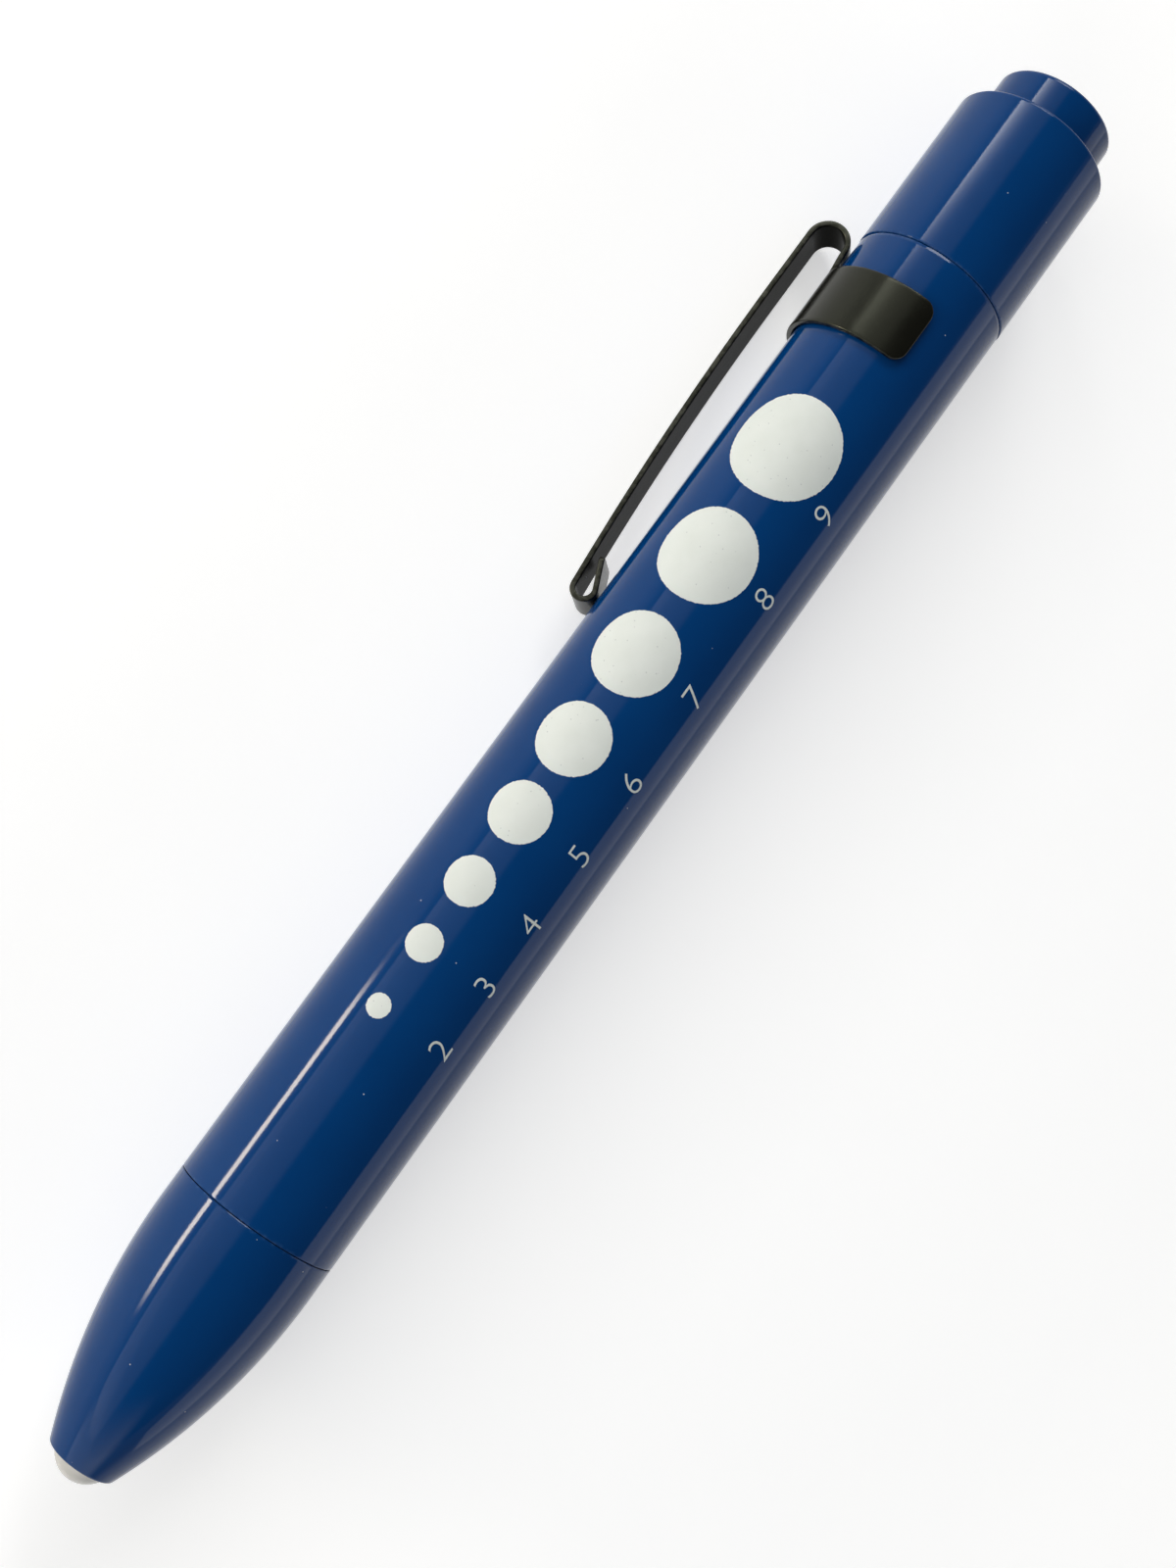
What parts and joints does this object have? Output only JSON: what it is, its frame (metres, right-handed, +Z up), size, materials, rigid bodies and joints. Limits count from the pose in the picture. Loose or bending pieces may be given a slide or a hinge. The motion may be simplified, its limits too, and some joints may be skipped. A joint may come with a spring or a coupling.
{
  "type": "penlight",
  "caption": "Slim metal penlight with a tapered screw-off nose, lamp dome, printed pupil gauge, spring pocket clip and push-button cap.",
  "frame": {"origin": "centre of the bounding box on the surface that the pen lies on", "axes": "+X along the pen from the lamp to the button, +Z up, with the clip on the +Y side resting its arm on the surface"},
  "size_m": [0.1316, 0.0168, 0.0147],
  "materials": {
    "blue_paint": "gloss cobalt-blue paint on aluminium",
    "clip_black": "semi-gloss black finish on spring steel",
    "lamp_epoxy": "clear, faintly milky epoxy",
    "tinned_wire": "tinned wire",
    "white_plastic": "moulded, satin",
    "black_plastic": "moulded, satin",
    "red_plastic": "moulded, satin",
    "board_laminate": "green solder mask",
    "resistor_body": "ceramic chip, black top",
    "contact_brass": "plain brass",
    "spring_steel": "nickel-plated wire",
    "ring_aluminium": "turned",
    "cell_metal": "bright nickel-plated can",
    "cell_sleeve": "printed film sleeve, plain"
  },
  "bodies": {
    "barrel": {"barrel": "blue_paint", "clip_band": "clip_black", "front_cell_can": "cell_metal", "front_cell_label": "cell_sleeve", "front_cell_seal": "black_plastic", "front_cell_base": "cell_metal", "rear_cell_can": "cell_metal", "rear_cell_label": "cell_sleeve", "rear_cell_seal": "black_plastic", "rear_cell_base": "cell_metal"},
    "lamp": {"led_lamp": "lamp_epoxy", "led_leads": "tinned_wire", "led_holder": "white_plastic", "led_board": "board_laminate", "led_resistor": "resistor_body", "front_contact": "contact_brass", "earth_ring": "contact_brass"},
    "nose": {"nose_shell": "blue_paint"},
    "switch": {"switch_body": "white_plastic", "switch_cover": "black_plastic", "fixed_contact": "contact_brass", "contact_spring": "spring_steel", "switch_spring": "spring_steel"},
    "cap": {"cap_shell": "blue_paint", "retaining_ring": "ring_aluminium"},
    "button": {"push_button": "blue_paint", "switch_plunger": "red_plastic", "moving_contact": "contact_brass"},
    "clip": {"clip_arm": "clip_black"}
  },
  "joints": [
    {"name": "nose_travel", "type": "slide", "parent": "barrel", "child": "lamp", "axis": [-1, 0, 0], "range_m": [0, 0.005]},
    {"name": "nose_turn", "type": "hinge", "parent": "lamp", "child": "nose", "pos_m": [0, -0.00151, 0.0074], "axis": [-1, 0, 0], "range_deg": [0, 2160]},
    {"name": "cap_travel", "type": "slide", "parent": "barrel", "child": "switch", "axis": [1, 0, 0], "range_m": [0, 0.005]},
    {"name": "cap_turn", "type": "hinge", "parent": "switch", "child": "cap", "pos_m": [0, -0.00151, 0.0074], "axis": [1, 0, 0], "range_deg": [0, 2160]},
    {"name": "button_press", "type": "slide", "parent": "switch", "child": "button", "axis": [-1, 0, 0], "range_m": [0, 0.002], "stiffness_N_per_m": 600, "springref_m": -0.001, "deforming": ["switch_spring"]},
    {"name": "clip_flex", "type": "hinge", "parent": "barrel", "child": "clip", "pos_m": [0.0457, 0.0058, 0.00253], "axis": [0, -0.5541, -0.8324], "range_deg": [0, 5], "stiffness_Nm_per_rad": 0.6, "springref_deg": -1.72}
  ],
  "couplings": [
    {"joint": "nose_travel", "follows": "nose_turn", "m_per_rad": 0.00012732},
    {"joint": "cap_travel", "follows": "cap_turn", "m_per_rad": 0.00012732}
  ]
}
